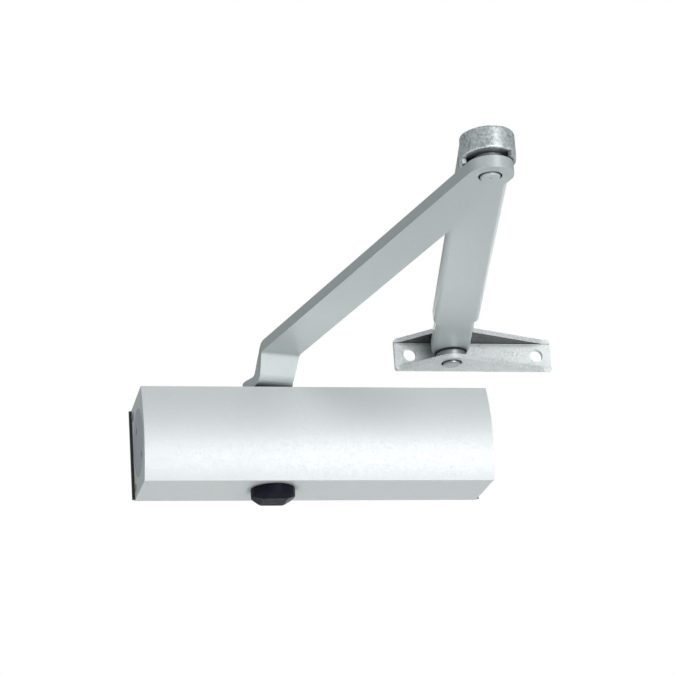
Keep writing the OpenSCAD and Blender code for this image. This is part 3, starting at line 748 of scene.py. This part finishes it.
def make_bracket():
    """Pressed U: a back plate between two triangular ears, with round bends and round corners."""
    low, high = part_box("shoe_bracket")
    x0, x1, z0, z1 = low[0], high[0], low[2], high[2]
    bm = bmesh.new()
    rows = []
    for i in range(BRACKET_STEPS + 1):
        x = x0 + (x1 - x0) * i / BRACKET_STEPS
        rows.append([(x, y, z0 + z) for y, z in bracket_section(ear_depth(x, x0, x1), z1 - z0)])
    verts = grid(bm, rows, closed_columns=True)
    bm.faces.new(list(reversed(verts[0])))
    bm.faces.new(verts[-1])
    bmesh.ops.recalc_face_normals(bm, faces=bm.faces)
    obj = new_object("bracket_pressing", bm, MATERIALS["plated"])
    outline = rounded_bar(x0 - HAIR, x1 + HAIR, z0 - HAIR, z1 + HAIR, BASE_ROUND)
    boolean(obj, new_object("outline", outline), "INTERSECT")
    pattern = [m for m in frame["record"]["mounts"] if m["name"] == "bracket_holes"][0]["pos_m"]
    for side in (-1, 1):
        place = Matrix.Translation((pattern[0] + side * BRACKET_SPACING / 2, 0, pattern[2]))
        turn = place @ Matrix.Rotation(math.pi / 2, 4, "X")
        boolean(obj, new_object("cut", moved(disc(BRACKET_HOLE, -BRACKET_CUT, BRACKET_CUT, 48), turn)))
    for radius, top in ((PIN_HOLE, z1 + BRACKET_CUT), (PIN_SINK, z0 + PIN_SINK_DEPTH)):
        boolean(obj, new_object("cut", moved(disc(radius, z0 - BRACKET_CUT, top, 48), PIN_FRAME)))
    ease_bracket(obj)
    smooth(obj)
    place_piece(obj, "shoe_bracket")


# ---------------------------------------------------------------- forearm head

KNOB_RADIUS = 12.15 * MM
KNOB_LOW = 50.2 * MM
KNOB_ROUND = 1.6 * MM
RIM_ROUND = 1.0 * MM
SKIRT_LOW = 47.6 * MM
SKIRT_WALL = 2 * MM
SKIRT_ANGLES = (-49, 179)
SKIRT_ROUND = 0.5 * MM
SKIRT_INSET = 0.2 * MM
SKIRT_OVERLAP = 2 * MM
BLOCK_START = 1 * MM
BLOCK_END = 16 * MM
BLOCK_BELOW_TOP = 0.15 * MM
BLOCK_ROUND = 1.6 * MM
TONGUE_OVERLAP = 2 * MM
TONGUE_ROUND = 0.5 * MM
TONGUE_LOW = 54.7 * MM
TONGUE_THICK = 3.6 * MM
TONGUE_HALF = 9.5 * MM
TONGUE_END = 109 * MM
STUD_BORE = 4.5 * MM
CLIP_POCKET = 7.4 * MM
CLIP_FLOOR = 56.0 * MM
LID_SEAT = 9.4 * MM
LID_DEPTH = 1.4 * MM
BLOCK_HOLLOW = 10.9 * MM
CLAMP_PLACE = 70 * MM
CLAMP_HOLE = 3.0 * MM


def head_profile(top):
    """Section of the cap over the elbow, with the stud's bore, the clip's pocket and the lid's seat."""
    profile = [(STUD_BORE, KNOB_LOW)]
    profile += round_corner((KNOB_RADIUS - RIM_ROUND, KNOB_LOW + RIM_ROUND), RIM_ROUND, -90, 0)
    profile += round_corner((KNOB_RADIUS - KNOB_ROUND, top - KNOB_ROUND), KNOB_ROUND, 0, 90, 7)
    profile += [(LID_SEAT, top), (LID_SEAT, top - LID_DEPTH), (CLIP_POCKET, top - LID_DEPTH)]
    return profile + [(CLIP_POCKET, CLIP_FLOOR), (STUD_BORE, CLIP_FLOOR)]


def skirt_profile():
    """Section of the skirt below the cap, run up into the cap."""
    inner, outer = KNOB_RADIUS - SKIRT_WALL, KNOB_RADIUS - SKIRT_INSET
    low, high = SKIRT_LOW + SKIRT_ROUND, KNOB_LOW + SKIRT_OVERLAP
    profile = round_corner((inner + SKIRT_ROUND, low), SKIRT_ROUND, 180, 270, 3)
    profile += round_corner((outer - SKIRT_ROUND, low), SKIRT_ROUND, -90, 0, 3)
    return profile + [(outer, high), (inner, high)]


def make_head():
    """Cast cap over the elbow with a partial skirt, a shoulder block and the flat tongue."""
    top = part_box("forearm_head")[1][2]
    obj = new_object("elbow_head_casting", moved(revolve(head_profile(top)), ELBOW_FRAME), MATERIALS["cast"])
    skirt = new_object("skirt", moved(revolve(skirt_profile(), *SKIRT_ANGLES, steps=64), ELBOW_FRAME))
    boolean(obj, skirt, "UNION")
    channel_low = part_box("forearm_channel")[0][2]
    block = box((BLOCK_START, -CHANNEL_HALF, channel_low),
                (BLOCK_END, CHANNEL_HALF, top - BLOCK_BELOW_TOP), BLOCK_ROUND)
    block = new_object("block", moved(block, FOREARM_FRAME))
    boolean(block, new_object("cut", moved(disc(BLOCK_HOLLOW, KNOB_LOW, top + CUT_OVER, 90), ELBOW_FRAME)))
    boolean(obj, block, "UNION")
    tongue = box((BLOCK_END - TONGUE_OVERLAP, -TONGUE_HALF, TONGUE_LOW),
                 (TONGUE_END, TONGUE_HALF, TONGUE_LOW + TONGUE_THICK), TONGUE_ROUND, 2)
    boolean(obj, new_object("tongue", moved(tongue, FOREARM_FRAME)), "UNION")
    hole = moved(disc(CLAMP_HOLE, TONGUE_LOW - CUT_OVER, TONGUE_LOW + TONGUE_THICK + CUT_OVER, 64),
                 FOREARM_FRAME @ Matrix.Translation((CLAMP_PLACE, 0, 0)))
    boolean(obj, new_object("cut", hole))
    smooth(obj, 30)
    place_piece(obj, "forearm_head")


# ---------------------------------------------------------------- spring and rings

WIRE = 1.9 * MM
SPRING_RADIUS = 10.8 * MM
SPRING_TURNS = 9
SPRING_STEPS = 36
SPRING_END_RISE = 1.1 * MM
WIRE_SIDES = 14


def coil_place(turns, rise):
    """How far along the coil the wire's centre is after so many turns; the end turns lie close."""
    if turns < 1:
        return SPRING_END_RISE * turns
    if turns > SPRING_TURNS - 1:
        return rise - SPRING_END_RISE * (SPRING_TURNS - turns)
    return SPRING_END_RISE + (rise - 2 * SPRING_END_RISE) * (turns - 1) / (SPRING_TURNS - 2)


def wire_section(start, turns, rise):
    """Points around the wire after so many turns."""
    a = 2 * math.pi * turns
    x = coil_place(turns, rise)
    row = []
    for k in range(WIRE_SIDES):
        b = 2 * math.pi * k / WIRE_SIDES
        r = SPRING_RADIUS + WIRE * math.cos(b)
        row.append((start + x + WIRE * math.sin(b), SPINDLE.y + r * math.cos(a), r * math.sin(a)))
    return row


def make_spring():
    """Round wire in an even helix; it stays in the housing."""
    low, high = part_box("main_spring")
    x0, x1 = low[0] + WIRE, high[0] - WIRE
    rows = [wire_section(x0, i / SPRING_STEPS, x1 - x0) for i in range(SPRING_TURNS * SPRING_STEPS + 1)]
    bm = bmesh.new()
    verts = grid(bm, rows, closed_columns=True)
    bm.faces.new(list(reversed(verts[0])))
    bm.faces.new(verts[-1])
    bmesh.ops.recalc_face_normals(bm, faces=bm.faces)
    obj = new_object("main_spring_coil", bm, MATERIALS["spring_steel"])
    smooth(obj, 60)
    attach(obj, "body")
    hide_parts("main_spring")
    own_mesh(obj)


RING_SIDES = 16
RING_STEPS = 72
# The rubber's thickness from its inner to its outer edge
RING_DEPTHS = {
    "left_plug_ring": 1.36 * MM, "right_plug_ring": 1.36 * MM,
    "closing_valve_ring": 1.18 * MM, "latching_valve_ring": 1.18 * MM,
}


def make_ring(node):
    """A round-section rubber ring in place of a plain one."""
    low, high = (Vector(c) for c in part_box(node))
    half = (high.x - low.x) / 2
    centre = (low + high) / 2
    outer = (high.z - low.z) / 2
    deep = RING_DEPTHS[node] / 2
    angles = [2 * math.pi * k / RING_SIDES for k in range(RING_SIDES)]
    profile = [(outer - deep + deep * math.cos(a), half * math.sin(a)) for a in angles]
    turn = Matrix.Translation(centre) @ Matrix.Rotation(math.pi / 2, 4, "Y")
    ring = moved(revolve(profile, steps=RING_STEPS), turn)
    obj = new_object(node + "_round", ring, MATERIALS["black_rubber"])
    smooth(obj, 60)
    place_piece(obj, node)


# ---------------------------------------------------------------- build

make_camera()
make_world()
make_stage()
make_lights()
bpy.context.scene.view_settings.view_transform = "Standard"
finish_nodes()
make_channel()
make_bracket()
make_head()
make_spring()
for ring_node in RING_DEPTHS:
    make_ring(ring_node)
